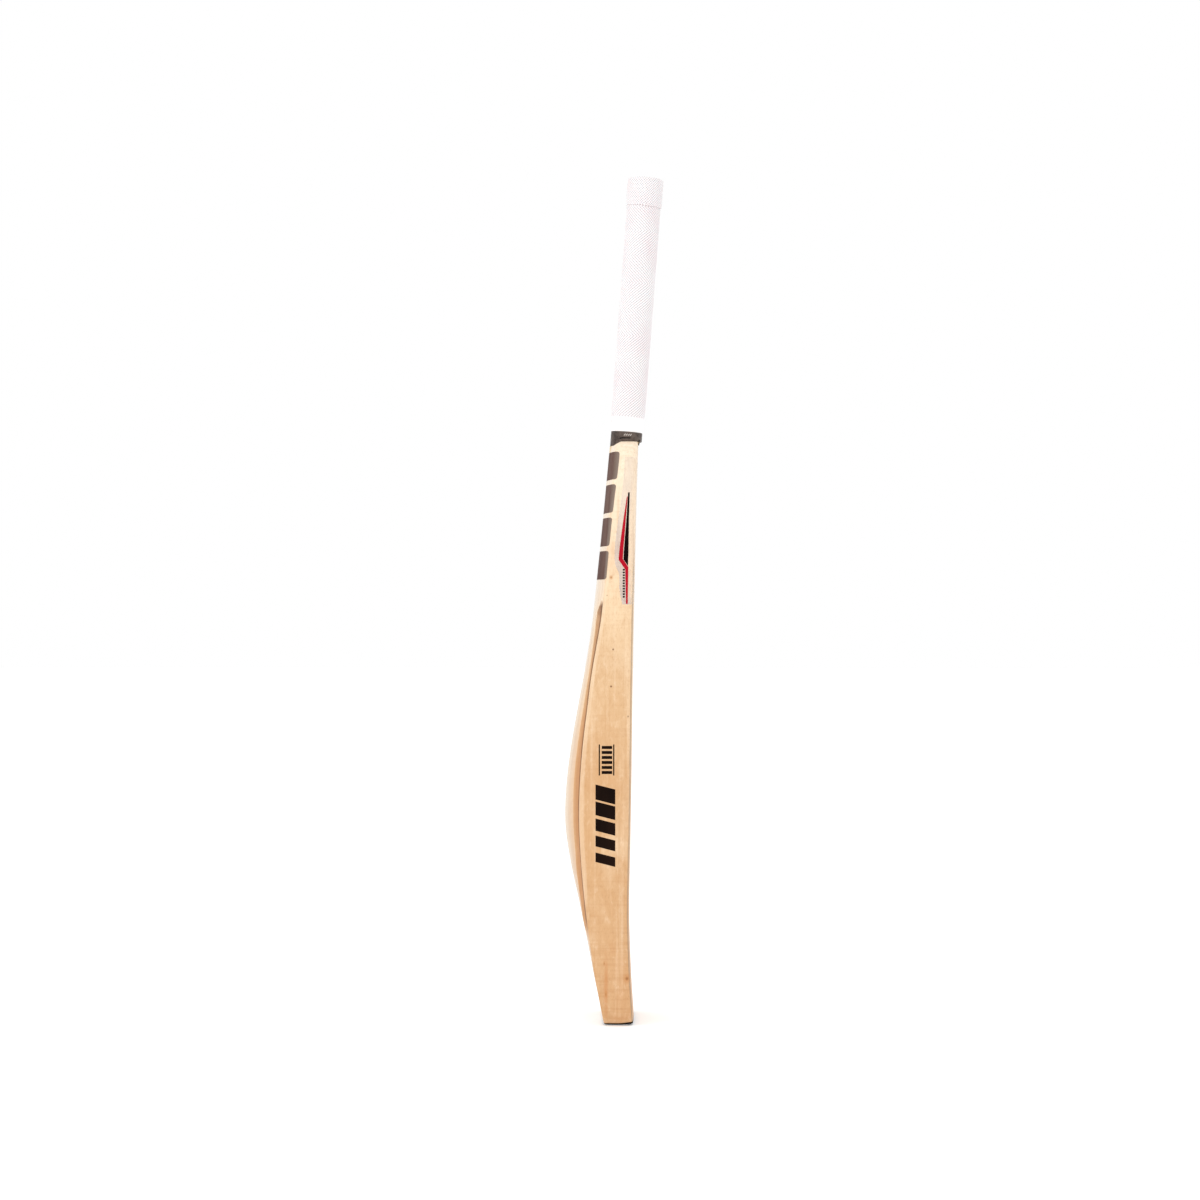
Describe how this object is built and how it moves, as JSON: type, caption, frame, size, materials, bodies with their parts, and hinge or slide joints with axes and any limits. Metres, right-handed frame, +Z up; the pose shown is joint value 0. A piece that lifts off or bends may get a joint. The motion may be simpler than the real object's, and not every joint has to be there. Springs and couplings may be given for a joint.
{
  "type": "cricket bat",
  "caption": "Full-size short-handle cricket bat: willow blade with a ridged, scooped back and thick edges, spliced cane handle, black binding and white chevron grip.",
  "frame": {"origin": "middle of the flat that the toe rests on, on the bat's plane of symmetry", "axes": "+Z up the blade to the handle, -Y out of the hitting face, +Y out of the ridged back, X across the width"},
  "size_m": [0.1086, 0.1004, 0.8568],
  "materials": {
    "willow": "oiled pale willow, straight grain, cream at the shoulders and tan at the toe",
    "cane": "raw split cane",
    "spring_rubber": "matte black sheet rubber",
    "twine": "waxed black twine, tightly wound",
    "grip_rubber": "white rubber with raised chevrons, satin",
    "guard_rubber": "matte dark rubber",
    "block_print": "glossy grey-brown printed film",
    "black_print": "glossy black printed film",
    "red_print": "glossy red printed film",
    "clear_film": "thin milky clear film over pale wood",
    "edge_ink": "matte black transfer print"
  },
  "bodies": {
    "root": {"willow_blade": "willow", "toe_guard": "guard_rubber", "twine_binding": "twine", "rubber_grip": "grip_rubber", "shoulder_film": "clear_film", "cane_strip_11": "cane", "cane_strip_12": "cane", "cane_strip_13": "cane", "cane_strip_21": "cane", "cane_strip_22": "cane", "cane_strip_23": "cane", "cane_strip_31": "cane", "cane_strip_32": "cane", "cane_strip_33": "cane", "cane_strip_41": "cane", "cane_strip_42": "cane", "cane_strip_43": "cane", "rubber_spring_1": "spring_rubber", "rubber_spring_2": "spring_rubber", "rubber_spring_3": "spring_rubber", "back_block_1": "block_print", "back_block_2": "block_print", "back_block_3": "block_print", "back_block_4": "block_print", "flash_dart_left": "black_print", "flash_stripe_left": "red_print", "edge_bars_left": "edge_ink", "edge_lines_left": "edge_ink", "flash_dart_right": "black_print", "flash_stripe_right": "red_print", "edge_bars_right": "edge_ink", "edge_lines_right": "edge_ink"}
  },
  "joints": []
}
